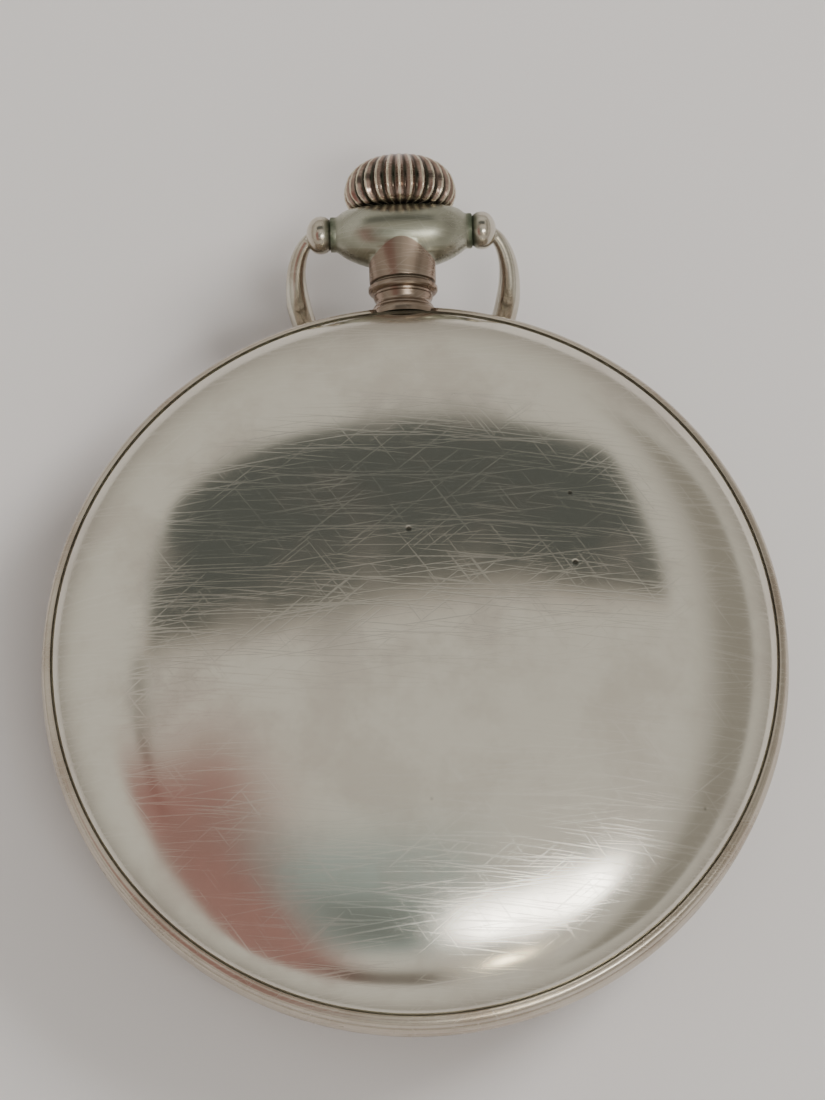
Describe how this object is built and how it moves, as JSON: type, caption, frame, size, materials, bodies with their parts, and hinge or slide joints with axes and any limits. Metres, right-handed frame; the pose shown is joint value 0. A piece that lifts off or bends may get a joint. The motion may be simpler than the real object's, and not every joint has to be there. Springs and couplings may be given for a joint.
{
  "type": "open face pocket watch",
  "caption": "Stem-wound open face pocket watch with a plain domed back, fluted crown, folding bow and a lever movement inside its case.",
  "frame": {"origin": "centre of the crystal's flat outer face, which the watch lies on", "axes": "+Z from the crystal to the domed back, +Y to the crown, +X across"},
  "size_m": [0.05, 0.0608, 0.0155],
  "materials": {
    "nickel_silver": "worn polished nickel silver",
    "worn_copper": "plating worn through to a coppery base",
    "steel": "polished steel",
    "blued_steel": "heat blued steel",
    "gilt_brass": "gilt",
    "rhodium_nickel": "striped nickel",
    "crystal_glass": "clear",
    "enamel": "glossy white enamel",
    "ruby": "polished"
  },
  "bodies": {
    "case": {"case_middle": "nickel_silver", "bezel": "nickel_silver", "crystal": "crystal_glass", "pendant": "worn_copper", "pendant_sleeve": "steel", "dial": "enamel", "main_plate": "rhodium_nickel", "barrel_bridge": "rhodium_nickel", "train_bridge": "rhodium_nickel", "balance_cock": "rhodium_nickel", "pallet_bridge": "rhodium_nickel", "barrel_bridge_screw_1": "blued_steel", "barrel_bridge_screw_2": "blued_steel", "barrel_bridge_screw_3": "blued_steel", "train_bridge_screw_1": "blued_steel", "train_bridge_screw_2": "blued_steel", "balance_cock_screw_1": "blued_steel", "pallet_bridge_screw_1": "blued_steel", "case_screw_1": "blued_steel", "case_screw_2": "blued_steel", "crown_wheel_post": "steel", "crown_wheel_screw": "blued_steel", "hairspring": "blued_steel", "hairspring_stud": "steel", "cap_jewel": "ruby", "click_spring": "blued_steel", "yoke_spring": "blued_steel"},
    "back": {"back_cover": "nickel_silver"},
    "bow": {"bow": "nickel_silver"},
    "winding_pinion": {"winding_pinion": "steel"},
    "crown": {"crown": "worn_copper", "winding_stem": "steel"},
    "clutch": {"clutch_wheel": "steel"},
    "setting_lever": {"setting_lever": "steel"},
    "yoke": {"yoke": "steel"},
    "crown_wheel": {"crown_wheel": "steel"},
    "ratchet": {"ratchet_wheel": "steel", "ratchet_screw": "blued_steel", "barrel_arbor": "steel"},
    "click": {"click": "steel"},
    "barrel": {"barrel_drum": "gilt_brass", "barrel_cover": "gilt_brass", "mainspring": "steel"},
    "centre": {"centre_wheel": "gilt_brass", "cannon_pinion": "steel", "minute_hand": "blued_steel"},
    "third": {"third_wheel": "gilt_brass"},
    "fourth": {"fourth_wheel": "gilt_brass", "seconds_hand": "blued_steel"},
    "escape": {"escape_wheel": "steel"},
    "minute_wheel": {"minute_wheel": "gilt_brass"},
    "hour": {"hour_wheel": "gilt_brass", "hour_hand": "blued_steel"},
    "setting_wheel": {"setting_wheel": "steel"},
    "intermediate_wheel": {"intermediate_wheel": "steel"},
    "pallets": {"pallet_fork": "steel"},
    "balance": {"balance_wheel": "gilt_brass", "balance_staff": "steel", "impulse_roller": "steel"},
    "regulator": {"regulator": "steel"}
  },
  "joints": [
    {"name": "back_open", "type": "hinge", "parent": "case", "child": "back", "pos_m": [0, -0.02445, 0.01], "axis": [1, 0, 0], "range_deg": [0, 110]},
    {"name": "bow_swing", "type": "hinge", "parent": "case", "child": "bow", "pos_m": [0, 0.0306, 0.0083], "axis": [1, 0, 0], "range_deg": [0, 285]},
    {"name": "crown_turn", "type": "hinge", "parent": "case", "child": "winding_pinion", "pos_m": [0, 0.0175, 0.0083], "axis": [0, 1, 0], "continuous": true},
    {"name": "crown_pull", "type": "slide", "parent": "winding_pinion", "child": "crown", "axis": [0, 1, 0], "range_m": [0, 0.0011]},
    {"name": "clutch_shift", "type": "slide", "parent": "winding_pinion", "child": "clutch", "axis": [0, 1, 0], "range_m": [-0.0009, 0]},
    {"name": "setting_lever_turn", "type": "hinge", "parent": "case", "child": "setting_lever", "pos_m": [0.0056, 0.0166, 0.0083], "axis": [0, 0, 1], "range_deg": [-12.5, 0]},
    {"name": "yoke_turn", "type": "hinge", "parent": "case", "child": "yoke", "pos_m": [0.0076, 0.0139, 0.0088], "axis": [0, 0, 1], "range_deg": [0, 8.5]},
    {"name": "crown_wheel_turn", "type": "hinge", "parent": "case", "child": "crown_wheel", "pos_m": [0.0034, 0.0135, 0.0118], "axis": [0, 0, 1], "continuous": true},
    {"name": "ratchet_turn", "type": "hinge", "parent": "case", "child": "ratchet", "pos_m": [-0.00683, 0.00683, 0.0118], "axis": [0, 0, 1], "continuous": true},
    {"name": "click_lift", "type": "hinge", "parent": "case", "child": "click", "pos_m": [-0.01526, 0.0029, 0.0118], "axis": [0, 0, 1], "range_deg": [-8, 0], "stiffness_Nm_per_rad": 0.0001},
    {"name": "fourth_turn", "type": "hinge", "parent": "case", "child": "fourth", "pos_m": [0, -0.0105, 0.009], "axis": [0, 0, 1], "continuous": true},
    {"name": "barrel_turn", "type": "hinge", "parent": "case", "child": "barrel", "pos_m": [-0.00683, 0.00683, 0.0095], "axis": [0, 0, 1], "continuous": true},
    {"name": "centre_turn", "type": "hinge", "parent": "case", "child": "centre", "pos_m": [0, 0, 0.0083], "axis": [0, 0, 1], "continuous": true},
    {"name": "third_turn", "type": "hinge", "parent": "case", "child": "third", "pos_m": [0.00463, -0.00552, 0.009], "axis": [0, 0, 1], "continuous": true},
    {"name": "escape_turn", "type": "hinge", "parent": "case", "child": "escape", "pos_m": [-0.00491, -0.01322, 0.0085], "axis": [0, 0, 1], "continuous": true},
    {"name": "minute_wheel_turn", "type": "hinge", "parent": "case", "child": "minute_wheel", "pos_m": [0.002, 0.00346, 0.0059], "axis": [0, 0, 1], "continuous": true},
    {"name": "hour_turn", "type": "hinge", "parent": "case", "child": "hour", "pos_m": [0, 0, 0.0054], "axis": [0, 0, 1], "continuous": true},
    {"name": "setting_wheel_turn", "type": "hinge", "parent": "case", "child": "setting_wheel", "pos_m": [0.0015, 0.00824, 0.0059], "axis": [0, 0, 1], "continuous": true},
    {"name": "intermediate_wheel_turn", "type": "hinge", "parent": "case", "child": "intermediate_wheel", "pos_m": [0.00172, 0.01143, 0.0059], "axis": [0, 0, 1], "continuous": true},
    {"name": "pallet_lever", "type": "hinge", "parent": "case", "child": "pallets", "pos_m": [-0.00798, -0.01014, 0.0085], "axis": [0, 0, 1], "range_deg": [-6, 6]},
    {"name": "balance_swing", "type": "hinge", "parent": "case", "child": "balance", "pos_m": [-0.01074, -0.00738, 0.0098], "axis": [0, 0, 1], "range_deg": [-270, 270]},
    {"name": "regulator_turn", "type": "hinge", "parent": "case", "child": "regulator", "pos_m": [-0.01074, -0.00738, 0.01165], "axis": [0, 0, 1], "range_deg": [-20, 20]}
  ],
  "couplings": [
    {"joint": "clutch_shift", "follows": "crown_pull", "ratio": -0.8},
    {"joint": "setting_lever_turn", "follows": "crown_pull", "rad_per_m": -190},
    {"joint": "yoke_turn", "follows": "crown_pull", "rad_per_m": 127},
    {"joint": "crown_wheel_turn", "follows": "crown_turn", "ratio": -0.53333},
    {"joint": "ratchet_turn", "follows": "crown_turn", "ratio": 0.4},
    {"joint": "centre_turn", "follows": "fourth_turn", "ratio": 0.016667},
    {"joint": "third_turn", "follows": "fourth_turn", "ratio": -0.13333},
    {"joint": "barrel_turn", "follows": "fourth_turn", "ratio": -0.0027778},
    {"joint": "escape_turn", "follows": "fourth_turn", "ratio": -10},
    {"joint": "minute_wheel_turn", "follows": "fourth_turn", "ratio": -0.0055556},
    {"joint": "hour_turn", "follows": "fourth_turn", "ratio": 0.0013889},
    {"joint": "setting_wheel_turn", "follows": "fourth_turn", "ratio": 0.0092593},
    {"joint": "intermediate_wheel_turn", "follows": "fourth_turn", "ratio": -0.011905}
  ]
}
